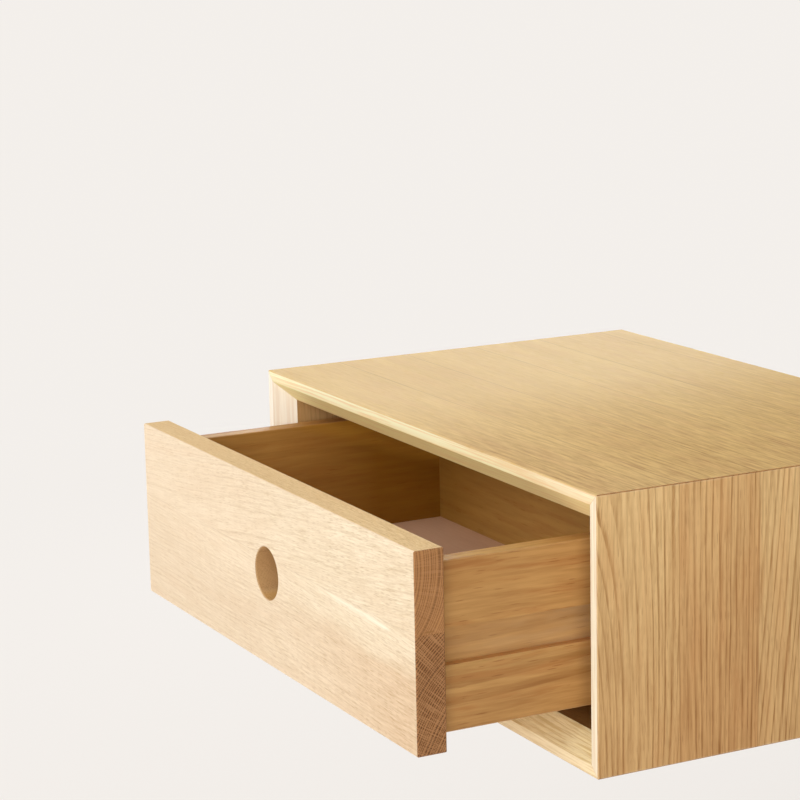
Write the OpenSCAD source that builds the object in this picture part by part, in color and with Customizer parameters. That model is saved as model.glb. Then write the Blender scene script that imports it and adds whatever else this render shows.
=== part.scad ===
// A wall-mounted oak drawer unit. Four panels are mitred into a case with a bevelled front,
// and one drawer hangs on wooden runners that slide in grooves cut into its sides.
// The wall is the plane y = 0, the front faces -Y, and z = 0 is half the height of the case.

/* [Case] */
// Outside width of the case
case_w = 450; // [380:5:700]
// Outside height of the case
case_h = 170; // [160:5:240]
// Depth of the case, from the wall to its front edge
case_d = 300; // [280:5:400]
// Thickness of the four mitred panels
panel_t = 20; // [18:0.5:24]
// Width of the flat front edge, outside the bevel
lip_w = 7; // [5:0.5:12]
// How far the bevel runs back from the front edge
bevel_d = 13; // [8:0.5:18]
// Chamfer that breaks the outside corners of the oak
arris = 0.6; // [0.2:0.1:1.2]

/* [Case back] */
// Thickness of the back panel
back_t = 6; // [4:0.5:9]
// Depth of the grooves that hold the back panel
back_groove_d = 5; // [3:0.5:6]
// Thickness of the two rails behind the back panel
rail_t = 22; // [18:0.5:30]
// Height of the upper rail, which carries the weight
upper_rail_h = 55; // [45:1:60]
// Height of the lower rail
lower_rail_h = 40; // [36:1:50]
// Distance between the left and the right wall screw holes
wall_hole_gap = 300; // [160:10:320]
// Distance of the wall screw holes from the panels above and below them
wall_hole_in = 25; // [20:1:28]
// Diameter of the wall screw holes in the rails
wall_hole_d = 6; // [4:0.5:8]
// Diameter of the openings in the back panel that let a screw head and a driver in
access_d = 16; // [12:0.5:20]

/* [Corner joints] */
// Thickness of the loose tongues in the mitres
spline_t = 4; // [3:0.5:5]
// Width of the loose tongues, across the mitre
spline_w = 12; // [8:0.5:14]
// Distance of the tongue from the inside corner, along the mitre
spline_in = 11; // [10.5:0.5:13]
// Distance of the tongue's end from the front edge
spline_stop = 30; // [26:1:60]
// Distance of the tongue's other end from the wall
spline_rear = 10; // [6:1:30]

/* [Runners] */
// Height of the wooden runners
runner_h = 21.4; // [16:0.2:26]
// Play above and below a runner in its groove
runner_play = 0.3; // [0.2:0.1:0.6]
// Play between a runner and the bottom of its groove
runner_tip_gap = 0.4; // [0.3:0.1:1]
// Distance of the runners' middle line above the middle of the case
runner_rise = 0; // [-4:0.5:4]
// Chamfer above and below the runner's front end, which leads it into the groove
runner_lead = 2; // [0.5:0.5:3]
// Distance from the runner's rear end to the back panel
runner_rear_gap = 17; // [10:1:40]
// Thickness of the buffers on the runners' front ends
buffer_t = 1.5; // [1:0.1:3]
// Diameter of the buffers
buffer_d = 12; // [8:0.5:15]

/* [Drawer front] */
// Thickness of the drawer front
front_t = 19; // [16:0.5:24]
// Gap between each end of the drawer front and the case
gap_side = 2; // [1:0.25:4]
// Gap between the drawer front and the top panel
gap_top = 3; // [1.5:0.5:5]
// Gap between the drawer front and the bottom panel
gap_bottom = 6; // [3:0.5:8]
// How far the closed drawer front stands behind the case's front edge
front_setback = 14; // [13:0.5:20]
// Diameter of the finger hole
finger_d = 34; // [25:0.5:45]
// Chamfer round both mouths of the finger hole
finger_ease = 0.6; // [0.2:0.1:1.5]

/* [Drawer box] */
// Thickness of the drawer sides
side_t = 12; // [11:0.5:16]
// Distance of a drawer side from the end of the drawer front
side_inset = 10; // [7:0.5:14]
// Height of the drawer front above the top of the sides
side_drop = 11; // [8:0.5:16]
// Height of the sides' lower edge above the bottom of the drawer front
side_rise = 8; // [5:0.5:12]
// Depth of the groove that rides on the runner
groove_d = 6; // [4:0.5:7]
// Thickness of the drawer back
drawer_back_t = 12; // [11:0.5:16]
// Depth of the rebates that the drawer back stands in
rebate_d = 3; // [2:0.5:5]
// Thickness of the drawer bottom
bottom_t = 5; // [3:0.5:6]
// Height of the drawer bottom above the sides' lower edge
bottom_rise = 16; // [11:0.5:17]
// Depth of the grooves that hold the drawer bottom
bottom_groove_d = 5; // [3:0.5:5]
// Room behind the closed drawer, for the stop button
rear_room = 25; // [18:1:40]

/* [Travel and stop] */
// How far the drawer stands open
rest_open = 120; // [0:5:140]
// How far the drawer opens before its button meets the batten
full_open = 150; // [140:5:165]
// Distance left between button and batten at the end of the travel
stop_clear = 0.5; // [0.4:0.1:1]
// Thickness of the stop batten
batten_t = 9; // [7:0.5:10]
// Width of the stop batten, from front to back
batten_w = 25; // [18:1:35]
// Distance of the batten's ends from the side panels
batten_end_gap = 15; // [10:1:40]
// Thickness of the turn button
button_t = 7; // [5:0.5:9]
// Width of the turn button
button_w = 14; // [12:0.5:16]
// Distance of the button's screw below the top of the drawer back
button_drop = 10; // [9:0.5:14]
// How far the upright button reaches past the batten's lower face
button_catch = 5; // [3:0.5:6]

/* [Dowels and screws] */
// Diameter of the dowels
dowel_d = 8; // [6:1:8]
// Length of the dowels
dowel_l = 30; // [24:1:32]
// Length of dowel that stands in the drawer front or in a side panel
dowel_bite = 12; // [8:0.5:12]
// Shank diameter of the runner screws
runner_screw_d = 4; // [3:0.5:4.5]
// Length of the runner screws
runner_screw_l = 30; // [24:1:34]
// Shank diameter of the screws in the stop batten and the drawer back
box_screw_d = 3.5; // [3:0.5:4]
// Length of the screws in the stop batten
batten_screw_l = 22; // [16:1:25]
// Distance of the outer screws from the batten's ends
batten_screw_in = 30; // [15:1:60]
// Length of the screws through the drawer sides
back_screw_l = 35; // [25:1:45]
// Shank diameter of the screws in the drawer bottom
bottom_screw_d = 3; // [2.5:0.5:3.5]
// Length of the screws in the drawer bottom
bottom_screw_l = 18; // [12:1:25]
// Distance of the outer bottom screws from the drawer sides
bottom_screw_in = 36; // [20:1:60]
// Shank diameter of the turn button's screw
pivot_d = 4; // [3:0.5:4.5]
// Length of the turn button's screw below its head
pivot_l = 17; // [15:0.5:19]

/* [Hidden] */
$fn = 64;

// Fits and small allowances
fit_play = 0.1;      // play across a dowel, a screw, a tongue or a panel in its seat
panel_end_gap = 0.5; // space at the ends of a panel in its grooves
hole_end_gap = 1;    // space left at the bottom of a blind hole
turn_gap = 0.3;      // space in front of and behind the turn button
turn_play = 0.2;     // play across the turn button's screw
buffer_gap = 0.3;    // space between the closed drawer front and a buffer
eps = 1;             // overshoot of a cut past the face that it opens

// Case
in_x = case_w / 2 - panel_t;
in_z = case_h / 2 - panel_t;
front_y = -case_d;
back_y0 = -(rail_t + back_t);
spline_l = case_d - spline_stop - spline_rear;
spline_y = front_y + spline_stop + spline_l / 2;
wall_hole_z = in_z - wall_hole_in;
rail_dowel_in = 12;
batten_l = 2 * (in_x - batten_end_gap);

// Drawer, in its closed place
face_y = front_y + front_setback;
box_y0 = face_y + front_t;
box_y1 = back_y0 - rear_room;
box_l = box_y1 - box_y0;
front_w = 2 * (in_x - gap_side);
front_z0 = gap_bottom - in_z;
front_z1 = in_z - gap_top;
front_h = front_z1 - front_z0;
side_x1 = front_w / 2 - side_inset;
side_x0 = side_x1 - side_t;
side_z0 = front_z0 + side_rise;
side_z1 = front_z1 - side_drop;
bottom_z0 = side_z0 + bottom_rise;
bottom_z1 = bottom_z0 + bottom_t;
back_y = box_y1 - drawer_back_t;
back_x = side_x0 + rebate_d;
side_ease = 0.5;

// Runners and the grooves for them
groove_z0 = runner_rise - runner_h / 2 - runner_play;
groove_z1 = runner_rise + runner_h / 2 + runner_play;
runner_x0 = side_x1 - groove_d + runner_tip_gap;
runner_y0 = box_y0 + buffer_gap + buffer_t;
runner_y1 = back_y0 - runner_rear_gap;
runner_screw_in = 25;

// Heights of the dowels and screws in the drawer sides: below the groove and above it.
// The shares say how far up the land above the groove the two upper dowels stand.
land_shares = [0.3, 0.75];
low_land_z = (bottom_z1 + groove_z0) / 2;
high_land = side_z1 - groove_z1;
land_z = concat([low_land_z], [for (share = land_shares) groove_z1 + share * high_land]);
back_screw_z = [low_land_z, groove_z1 + high_land / 2];
side_mid_x = side_x1 - side_t / 2;

// Stop batten and turn button
batten_z0 = in_z - batten_t;
batten_y1 = box_y1 - full_open + turn_gap - stop_clear;
pivot_z = side_z1 - button_drop;
button_top = batten_z0 + button_catch;
button_y0 = box_y1 + turn_gap;
washer_y0 = button_y0 + button_t + turn_gap;
washer_t = 1;
washer_d = 10;
dome_h = 2.6;

// A board with its four long edges along Y broken by a chamfer
module bar_y(x, y, z, c) {
    translate([x[0], y[1], z[0]])
        rotate([90, 0, 0])
            linear_extrude(y[1] - y[0])
                eased_rect(x[1] - x[0], z[1] - z[0], c);
}

// A rectangle from the origin with its corners cut by a chamfer
module eased_rect(w, h, c) {
    polygon([[c, 0], [w - c, 0], [w, c], [w, h - c], [w - c, h], [c, h], [0, h - c], [0, c]]);
}

// A box between two corners given as ranges along X, Y and Z
module block(x, y, z) {
    translate([x[0], y[0], z[0]])
        cube([x[1] - x[0], y[1] - y[0], z[1] - z[0]]);
}

// A copy on each side of the middle of the case
module both_sides() {
    children();
    mirror([1, 0, 0])
        children();
}

// The drawer's pieces are drawn closed and moved out together
module slid_open() {
    translate([0, -rest_open, 0])
        children();
}

// A countersunk screw, or the hole for one: its head is flush with z = 0 and it points along -Z
module screw_shape(d, l, grow = 0) {
    head_d = 2 * d;
    head_h = d / 2;
    tip_l = 0.8 * d;
    translate([0, 0, -head_h])
        cylinder(d1 = d + grow, d2 = head_d + grow, h = head_h);
    translate([0, 0, tip_l - l])
        cylinder(d = d + grow, h = l - tip_l - head_h);
    translate([0, 0, -l])
        cylinder(d1 = 0.2 * d + grow, d2 = d + grow, h = tip_l);
}

// The cross cut of a screw's drive, down from z = 0
module cross_recess(d) {
    for (a = [0, 90])
        rotate(a)
            cube([0.95 * d, 0.22 * d, 0.7 * d], center = true);
}

module countersunk_screw(d, l) {
    difference() {
        screw_shape(d, l);
        cross_recess(d);
    }
}

// Clearance for a countersunk screw, open above its head and a little deeper than its tip
module screw_hole(d, l) {
    screw_shape(d, l + hole_end_gap, fit_play);
    cylinder(d = 2 * d + fit_play, h = eps);
}

// A dowel along Z with chamfered ends, from z = 0 upwards
module dowel() {
    ease = 1;
    rotate_extrude()
        polygon([
            [0, 0], [dowel_d / 2 - ease, 0], [dowel_d / 2, ease], [dowel_d / 2, dowel_l - ease],
            [dowel_d / 2 - ease, dowel_l], [0, dowel_l]
        ]);
}

// The drilling for a whole dowel, open to both of the pieces that it joins
module dowel_hole() {
    translate([0, 0, -hole_end_gap])
        cylinder(d = dowel_d + fit_play, h = dowel_l + 2 * hole_end_gap);
}

// A panel with its outside face at z = reach, mitred at both ends, bevelled along the front
// and grooved for the back panel and for the tongues in its mitres
module mitred_panel(length, reach) {
    half = length / 2;
    difference() {
        rotate([90, 0, 0])
            linear_extrude(case_d)
                polygon([
                    [panel_t - half, reach - panel_t], [half - panel_t, reach - panel_t],
                    [half - arris / 2, reach - arris / 2], [half - arris, reach],
                    [arris - half, reach], [arris / 2 - half, reach - arris / 2]
                ]);
        front_bevel(length, reach);
        front_arris(length, reach);
        block(
            [panel_t - half - back_groove_d, half - panel_t + back_groove_d],
            [back_y0 - fit_play / 2, back_y0 + back_t + fit_play / 2],
            [reach - panel_t - eps, reach - panel_t + back_groove_d]
        );
        both_sides()
            translate([half - panel_t, 0, reach - panel_t])
                tongue(fit_play);
    }
}

// The slope from the flat front edge back to the panel's inside face
module front_bevel(length, reach) {
    rise = panel_t - lip_w;
    slope = rise / bevel_d;
    translate([-length, 0, 0])
        rotate([90, 0, 90])
            linear_extrude(2 * length)
                polygon([
                    [front_y - eps, reach - lip_w + eps * slope],
                    [front_y - eps, reach - panel_t - eps * slope],
                    [front_y + bevel_d + eps, reach - panel_t - eps * slope]
                ]);
}

module front_arris(length, reach) {
    translate([-length, 0, 0])
        rotate([90, 0, 90])
            linear_extrude(2 * length)
                polygon([
                    [front_y - eps, reach - arris - eps],
                    [front_y + arris + eps, reach + eps],
                    [front_y - eps, reach + eps]
                ]);
}

// A loose tongue that crosses the mitre at right angles, seen from the inside corner
module tongue(grow = 0) {
    step = spline_in / sqrt(2);
    translate([step, spline_y, step])
        rotate([0, -45, 0])
            cube([spline_t + grow, spline_l + grow, spline_w + grow], center = true);
}

// The dowels, or the holes, that join the rails to the right side panel
module at_rail_dowels() {
    for (z = rail_dowel_heights())
        translate([in_x + dowel_bite - dowel_l, -rail_t / 2, z])
            rotate([0, 90, 0])
                children();
}

function rail_dowel_heights() = [
    in_z - rail_dowel_in, in_z - upper_rail_h + rail_dowel_in,
    lower_rail_h - in_z - rail_dowel_in, rail_dowel_in - in_z
];

// Places along the right runner where a screw goes through it into the side panel
module at_runner_screws() {
    for (y = [runner_y0 + runner_screw_in, (runner_y0 + runner_y1) / 2, runner_y1 - runner_screw_in])
        translate([runner_x0, y, runner_rise])
            rotate([0, -90, 0])
                children();
}

module at_batten_screws() {
    for (side = [-1:1])
        translate([side * (batten_l / 2 - batten_screw_in), batten_y1 - batten_w / 2, batten_z0])
            rotate([180, 0, 0])
                children();
}

// Places of the dowels between the right drawer side and the drawer front
module at_front_dowels() {
    for (z = land_z)
        translate([side_mid_x, box_y0 - dowel_bite, z])
            rotate([-90, 0, 0])
                children();
}

// Places of the screws through the right drawer side into the drawer back
module at_back_screws() {
    for (z = back_screw_z)
        translate([side_x1, back_y + drawer_back_t / 2, z])
            rotate([0, 90, 0])
                children();
}

module at_bottom_screws() {
    for (side = [-1:1])
        translate([side * (side_x0 - bottom_screw_in), back_y + drawer_back_t / 2, bottom_z0])
            rotate([180, 0, 0])
                children();
}

module side_panel() {
    difference() {
        rotate([0, 90, 0])
            mitred_panel(case_h, case_w / 2);
        at_rail_dowels()
            dowel_hole();
        at_runner_screws()
            screw_hole(runner_screw_d, runner_screw_l);
    }
}

module top_panel() {
    color("burlywood")
        difference() {
            mitred_panel(case_w, case_h / 2);
            at_batten_screws()
                screw_hole(box_screw_d, batten_screw_l);
        }
}

module bottom_panel() {
    color("burlywood")
        rotate([0, 180, 0])
            mitred_panel(case_w, case_h / 2);
}

module right_panel() {
    color("burlywood")
        side_panel();
}

module left_panel() {
    color("burlywood")
        mirror([1, 0, 0])
            side_panel();
}

module corner_splines() {
    color("tan")
        both_sides()
            for (m = [0, 1])
                mirror([0, 0, m])
                    translate([in_x, 0, in_z])
                        tongue();
}

module back_panel() {
    reach = back_groove_d - panel_end_gap;
    color("peru")
        difference() {
            block(
                [-in_x - reach, in_x + reach],
                [back_y0, back_y0 + back_t],
                [-in_z - reach, in_z + reach]
            );
            at_wall_holes()
                cylinder(d = access_d, h = 2 * (rail_t + back_t), center = true);
        }
}

// Where the four wall screws pass, pointing along Y
module at_wall_holes() {
    for (x = [-0.5, 0.5], z = [-1, 1])
        translate([x * wall_hole_gap, 0, z * wall_hole_z])
            rotate([90, 0, 0])
                children();
}

module rail(z) {
    color("wheat")
        difference() {
            block([-in_x, in_x], [-rail_t, 0], z);
            both_sides()
                at_rail_dowels()
                    dowel_hole();
            at_wall_holes()
                cylinder(d = wall_hole_d, h = 2 * rail_t + eps, center = true);
        }
}

module upper_rail() {
    rail([in_z - upper_rail_h, in_z]);
}

module lower_rail() {
    rail([-in_z, lower_rail_h - in_z]);
}

module rail_dowels() {
    color("tan")
        both_sides()
            at_rail_dowels()
                dowel();
}

// The right runner: a bar with its four long edges broken and its front end led in
module runner() {
    color("wheat")
        difference() {
            intersection() {
                bar_y(
                    [runner_x0, in_x], [runner_y0, runner_y1],
                    [runner_rise - runner_h / 2, runner_rise + runner_h / 2], side_ease
                );
                translate([runner_x0, runner_y0, runner_rise - runner_h / 2])
                    rotate([90, 0, 90])
                        linear_extrude(in_x - runner_x0)
                            led_in_outline(runner_y1 - runner_y0, runner_h, runner_lead);
            }
            at_runner_screws()
                screw_hole(runner_screw_d, runner_screw_l);
        }
}

// A rectangle from the origin with the two corners on its left cut by a chamfer
module led_in_outline(w, h, c) {
    polygon([[c, 0], [w, 0], [w, h], [c, h], [0, h - c], [0, c]]);
}

module right_runner() {
    runner();
}

module left_runner() {
    mirror([1, 0, 0])
        runner();
}

module runner_screws() {
    color("silver")
        both_sides()
            at_runner_screws()
                countersunk_screw(runner_screw_d, runner_screw_l);
}

module buffer_pads() {
    color("dimgray")
        both_sides()
            translate([(runner_x0 + in_x) / 2, runner_y0, runner_rise])
                rotate([90, 0, 0])
                    cylinder(d = buffer_d, h = buffer_t);
}

module stop_batten() {
    color("wheat")
        difference() {
            block([-batten_l / 2, batten_l / 2], [batten_y1 - batten_w, batten_y1], [batten_z0, in_z]);
            at_batten_screws()
                screw_hole(box_screw_d, batten_screw_l);
        }
}

module batten_screws() {
    color("silver")
        at_batten_screws()
            countersunk_screw(box_screw_d, batten_screw_l);
}

// The drawer front: all its edges are broken, which takes one chamfered outline along each axis
module front_board() {
    intersection() {
        translate([-front_w / 2, box_y0, front_z0])
            rotate([90, 0, 0])
                linear_extrude(front_t)
                    eased_rect(front_w, front_h, arris);
        translate([-front_w / 2, face_y, front_z0])
            linear_extrude(front_h)
                eased_rect(front_w, front_t, arris);
        translate([-front_w / 2, face_y, front_z0])
            rotate([90, 0, 90])
                linear_extrude(front_w)
                    eased_rect(front_t, front_h, arris);
    }
}

// The finger hole and the small chamfers at its mouths, along Y
module finger_hole() {
    translate([0, face_y, (front_z0 + front_z1) / 2])
        rotate([-90, 0, 0]) {
            translate([0, 0, -eps])
                cylinder(d = finger_d, h = front_t + 2 * eps);
            for (m = [0, 1])
                translate([0, 0, m * front_t])
                    mirror([0, 0, m])
                        translate([0, 0, -eps])
                            cylinder(
                                r1 = finger_d / 2 + finger_ease + eps,
                                r2 = finger_d / 2,
                                h = finger_ease + eps
                            );
        }
}

module drawer_front() {
    color("navajowhite")
        slid_open()
            difference() {
                front_board();
                finger_hole();
                bottom_slot([box_y0 - bottom_groove_d, box_y0 + eps]);
                both_sides()
                    at_front_dowels()
                        dowel_hole();
            }
}

// The groove for the drawer bottom, over a range along Y
module bottom_slot(y) {
    reach = side_x0 + bottom_groove_d;
    block([-reach, reach], y, [bottom_z0 - fit_play / 2, bottom_z1 + fit_play / 2]);
}

module drawer_side() {
    color("sandybrown")
        slid_open()
            difference() {
                bar_y([side_x0, side_x1], [box_y0, box_y1], [side_z0, side_z1], side_ease);
                block(
                    [side_x1 - groove_d, side_x1 + eps],
                    [box_y0 - eps, box_y1 + eps],
                    [groove_z0, groove_z1]
                );
                bottom_slot([box_y0 - eps, box_y1 + eps]);
                block([side_x0 - eps, back_x], [back_y, box_y1 + eps], [bottom_z1, side_z1 + eps]);
                at_front_dowels()
                    dowel_hole();
                at_back_screws()
                    screw_hole(box_screw_d, back_screw_l);
            }
}

module drawer_right_side() {
    drawer_side();
}

module drawer_left_side() {
    mirror([1, 0, 0])
        drawer_side();
}

module drawer_back() {
    color("sandybrown")
        slid_open()
            difference() {
                block([-back_x, back_x], [back_y, box_y1], [bottom_z1, side_z1]);
                both_sides()
                    at_back_screws()
                        screw_hole(box_screw_d, back_screw_l);
                at_bottom_screws()
                    screw_hole(bottom_screw_d, bottom_screw_l);
                at_pivot()
                    cylinder(d = pivot_d + fit_play, h = 2 * (pivot_l + hole_end_gap), center = true);
            }
}

module drawer_bottom() {
    reach = side_x0 + bottom_groove_d - panel_end_gap;
    color("rosybrown")
        slid_open()
            difference() {
                block(
                    [-reach, reach],
                    [box_y0 - bottom_groove_d + panel_end_gap, box_y1],
                    [bottom_z0, bottom_z1]
                );
                at_bottom_screws()
                    screw_hole(bottom_screw_d, bottom_screw_l);
            }
}

module front_dowels() {
    color("tan")
        slid_open()
            both_sides()
                at_front_dowels()
                    dowel();
}

module back_screws() {
    color("silver")
        slid_open()
            both_sides()
                at_back_screws()
                    countersunk_screw(box_screw_d, back_screw_l);
}

module bottom_screws() {
    color("silver")
        slid_open()
            at_bottom_screws()
                countersunk_screw(bottom_screw_d, bottom_screw_l);
}

// The turn button's screw axis, with z = 0 under the screw's head and -Z into the drawer back
module at_pivot() {
    translate([0, washer_y0 + washer_t, pivot_z])
        rotate([-90, 0, 0])
            children();
}

// The button stands upright behind the drawer back, with its foot rounded about the screw
module turn_button() {
    half = button_w / 2;
    color("tan")
        slid_open()
            translate([0, button_y0 + button_t, pivot_z])
                rotate([90, 0, 0])
                    linear_extrude(button_t)
                        difference() {
                            union() {
                                circle(r = half);
                                translate([-half, 0])
                                    square([button_w, button_top - pivot_z - half]);
                                translate([0, button_top - pivot_z - half])
                                    circle(r = half);
                            }
                            circle(d = pivot_d + turn_play);
                        }
}

module button_washer() {
    color("silver")
        slid_open()
            at_pivot()
                translate([0, 0, -washer_t])
                    difference() {
                        cylinder(d = washer_d, h = washer_t);
                        translate([0, 0, -eps])
                            cylinder(d = pivot_d + turn_play, h = washer_t + 2 * eps);
                    }
}

// A round-headed screw: a low dome over the washer and a pointed shank
module button_screw() {
    head_r = pivot_d;
    dome_r = (head_r * head_r + dome_h * dome_h) / (2 * dome_h);
    tip_l = 0.8 * pivot_d;
    color("silver")
        slid_open()
            at_pivot()
                difference() {
                    union() {
                        intersection() {
                            translate([0, 0, dome_h - dome_r])
                                sphere(r = dome_r);
                            cylinder(r = 2 * head_r, h = dome_h + eps);
                        }
                        translate([0, 0, tip_l - pivot_l])
                            cylinder(d = pivot_d, h = pivot_l - tip_l);
                        translate([0, 0, -pivot_l])
                            cylinder(d1 = 0.2 * pivot_d, d2 = pivot_d, h = tip_l);
                    }
                    translate([0, 0, dome_h])
                        cross_recess(pivot_d);
                }
}

top_panel();
bottom_panel();
left_panel();
right_panel();
corner_splines();
back_panel();
upper_rail();
lower_rail();
rail_dowels();
left_runner();
right_runner();
runner_screws();
buffer_pads();
stop_batten();
batten_screws();
drawer_front();
drawer_left_side();
drawer_right_side();
drawer_back();
drawer_bottom();
front_dowels();
back_screws();
bottom_screws();
turn_button();
button_washer();
button_screw();
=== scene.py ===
# %% [markdown]
# # A wall-mounted oak drawer unit
#
# The real object is a small oak box that hangs on a wall, with one drawer in it. Four panels are
# mitred at the corners, their front edge is bevelled inwards, and the drawer slides on wooden
# runners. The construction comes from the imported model, which this lesson loads and never moves.
# What is made here is the wood itself, the light and the camera.

# %% Load the model
import math

import bpy
from mathutils import Matrix, Vector


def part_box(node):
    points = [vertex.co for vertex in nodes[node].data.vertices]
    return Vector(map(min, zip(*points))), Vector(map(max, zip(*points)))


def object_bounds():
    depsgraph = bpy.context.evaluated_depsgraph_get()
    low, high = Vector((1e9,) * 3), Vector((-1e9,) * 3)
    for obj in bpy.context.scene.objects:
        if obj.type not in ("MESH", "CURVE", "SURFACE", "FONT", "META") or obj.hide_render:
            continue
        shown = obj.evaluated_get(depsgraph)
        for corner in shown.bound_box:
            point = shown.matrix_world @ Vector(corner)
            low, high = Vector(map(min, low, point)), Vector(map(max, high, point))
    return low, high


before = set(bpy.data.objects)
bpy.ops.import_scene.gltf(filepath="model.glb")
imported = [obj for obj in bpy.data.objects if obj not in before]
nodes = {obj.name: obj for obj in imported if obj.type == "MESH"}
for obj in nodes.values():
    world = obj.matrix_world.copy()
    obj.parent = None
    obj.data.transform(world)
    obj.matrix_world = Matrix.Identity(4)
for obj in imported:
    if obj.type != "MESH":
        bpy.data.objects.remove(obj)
cad_low, cad_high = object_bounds()
print("the model's nodes:", len(nodes), "and its box:", tuple(cad_low), tuple(cad_high))

# %% [markdown]
# ## The camera
#
# The photograph was taken from the right and a little above, with a long lens. The camera's place
# and its three turns were found by laying the model's edges over the photographed ones. A turn is
# easiest to read as a heading, a tilt and a roll, so the camera's axes are worked out from those
# three angles and put in a matrix.

# %% Place the camera
CAMERA_PLACE = Vector((1.4173, -1.0330, 0.4275))
CAMERA_HEADING = math.radians(62.93)
CAMERA_TILT = math.radians(-11.54)
CAMERA_ROLL = math.radians(-1.24)
LENS_MM = 114.0


def camera_matrix(place, heading, tilt, roll):
    """The forward axis turns from +Y towards -X by the heading and rises by the tilt. The right
    axis is level and at right angles to it, and roll then turns right and up about forward."""
    forward = Vector((
        -math.sin(heading) * math.cos(tilt), math.cos(heading) * math.cos(tilt), math.sin(tilt)
    ))
    level_right = Vector((math.cos(heading), math.sin(heading), 0.0))
    level_up = level_right.cross(forward)
    right = math.cos(roll) * level_right + math.sin(roll) * level_up
    up = math.cos(roll) * level_up - math.sin(roll) * level_right
    axes = Matrix((right, up, -forward)).transposed()
    return Matrix.Translation(place) @ axes.to_4x4()


camera_data = bpy.data.cameras.new("camera")
camera_data.sensor_width = 36.0
camera_data.lens = LENS_MM
camera_data.clip_start = 0.05
camera = bpy.data.objects.new("camera", camera_data)
camera.matrix_world = camera_matrix(CAMERA_PLACE, CAMERA_HEADING, CAMERA_TILT, CAMERA_ROLL)
bpy.context.scene.collection.objects.link(camera)
bpy.context.scene.camera = camera
print("camera at", tuple(CAMERA_PLACE), "with a lens of", LENS_MM, "mm")

# %% [markdown]
# ## Wiring nodes in code
#
# A wood material has dozens of nodes. Written one by one they would fill pages, so a small helper
# adds a node, sets its inputs from sockets or plain numbers, and returns its output. The rest of
# the lesson then reads almost like arithmetic. The helper is called net in every function.

# %% A helper for node trees
X, Y, Z = range(3)


class Wiring:
    """Adds nodes to one tree. Wherever a value is asked for, a socket or a number will do."""

    def __init__(self, tree):
        self.tree = tree

    def put(self, kind, inputs, **settings):
        node = self.tree.nodes.new(kind)
        for name, value in settings.items():
            setattr(node, name, value)
        self.feed(node, inputs)
        return node

    def feed(self, node, inputs):
        """Colours are given as red, green and blue, and are made opaque here."""
        for key, value in inputs.items():
            socket = node.inputs[key]
            if isinstance(value, bpy.types.NodeSocket):
                self.tree.links.new(value, socket)
            else:
                socket.default_value = (*value, 1.0) if socket.type == "RGBA" else value

    def math(self, operation, *values):
        return self.put("ShaderNodeMath", dict(enumerate(values)), operation=operation).outputs[0]

    def plus(self, first, *others):
        for other in others:
            first = self.math("ADD", first, other)
        return first

    def minus(self, first, second):
        return self.math("SUBTRACT", first, second)

    def times(self, first, *others):
        for other in others:
            first = self.math("MULTIPLY", first, other)
        return first

    def apart(self, first, second):
        """How far two values lie from each other."""
        return self.math("ABSOLUTE", self.minus(first, second))

    def vector(self, operation, *values):
        return self.put("ShaderNodeVectorMath", dict(enumerate(values)), operation=operation).outputs[0]

    def scaled(self, vector, scale):
        """A vector or colour, part by part times scale."""
        return self.vector("MULTIPLY", vector, scale)

    def sized(self, vector, size):
        """A vector times one value."""
        return self.put("ShaderNodeVectorMath", {0: vector, "Scale": size}, operation="SCALE").outputs[0]

    def split(self, vector):
        return self.put("ShaderNodeSeparateXYZ", {0: vector}).outputs

    def join(self, x, y, z):
        return self.put("ShaderNodeCombineXYZ", {0: x, 1: y, 2: z}).outputs[0]

    def linear(self, value, low, high, to_low=0.0, to_high=1.0, kind="LINEAR"):
        """A ramp: to_low where value is at low, to_high where it is at high."""
        inputs = {"Value": value, "From Min": low, "From Max": high, "To Min": to_low, "To Max": to_high}
        return self.put("ShaderNodeMapRange", inputs, interpolation_type=kind).outputs[0]

    def smooth(self, value, low, high, to_low=0.0, to_high=1.0):
        """The same ramp with soft ends."""
        return self.linear(value, low, high, to_low, to_high, "SMOOTHSTEP")

    def between(self, share, first, last):
        return self.linear(share, 0.0, 1.0, first, last)

    def stretch(self, noise, first=0.0, last=1.0):
        """Noise seldom leaves 0.3 to 0.7, so that span is stretched from first to last."""
        return self.linear(noise, 0.3, 0.7, first, last)

    def noise(self, vector, scale=None, detail=2.0, roughness=0.5):
        """Noise of a vector, which may be scaled first."""
        if scale:
            vector = self.scaled(vector, scale)
        inputs = {"Vector": vector, "Scale": 1.0, "Detail": detail, "Roughness": roughness}
        return self.put("ShaderNodeTexNoise", inputs).outputs[0]

    def cells(self, vector):
        """Scattered points in the cells of a grid: the distance to the nearest, and its colour."""
        node = self.put("ShaderNodeTexVoronoi", {"Vector": vector, "Scale": 1.0})
        return node.outputs["Distance"], node.outputs["Color"]

    def blend(self, share, first, second):
        """Colours first and second mixed by share."""
        return self.put("ShaderNodeMix", {0: share, 6: first, 7: second}, data_type="RGBA").outputs[2]

    def choose(self, share, first, second):
        """Vectors first and second mixed by share."""
        return self.put("ShaderNodeMix", {0: share, 4: first, 5: second}, data_type="VECTOR").outputs[1]

    def fade(self, colour, value, start, finish, first, last):
        """A colour times a tone that goes from first to last as value goes from start to finish."""
        return self.scaled(colour, self.choose(self.linear(value, start, finish), first, last))


def new_group(name, inputs, outputs):
    """An empty node group. Each socket is given as a name and a kind, Vector or Float."""
    tree = bpy.data.node_groups.new(name, "ShaderNodeTree")
    for side, sockets in (("INPUT", inputs), ("OUTPUT", outputs)):
        for label, kind in sockets.items():
            tree.interface.new_socket(label, in_out=side, socket_type="NodeSocket" + kind)
    return Wiring(tree), tree.nodes.new("NodeGroupInput").outputs, tree.nodes.new("NodeGroupOutput")


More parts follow.
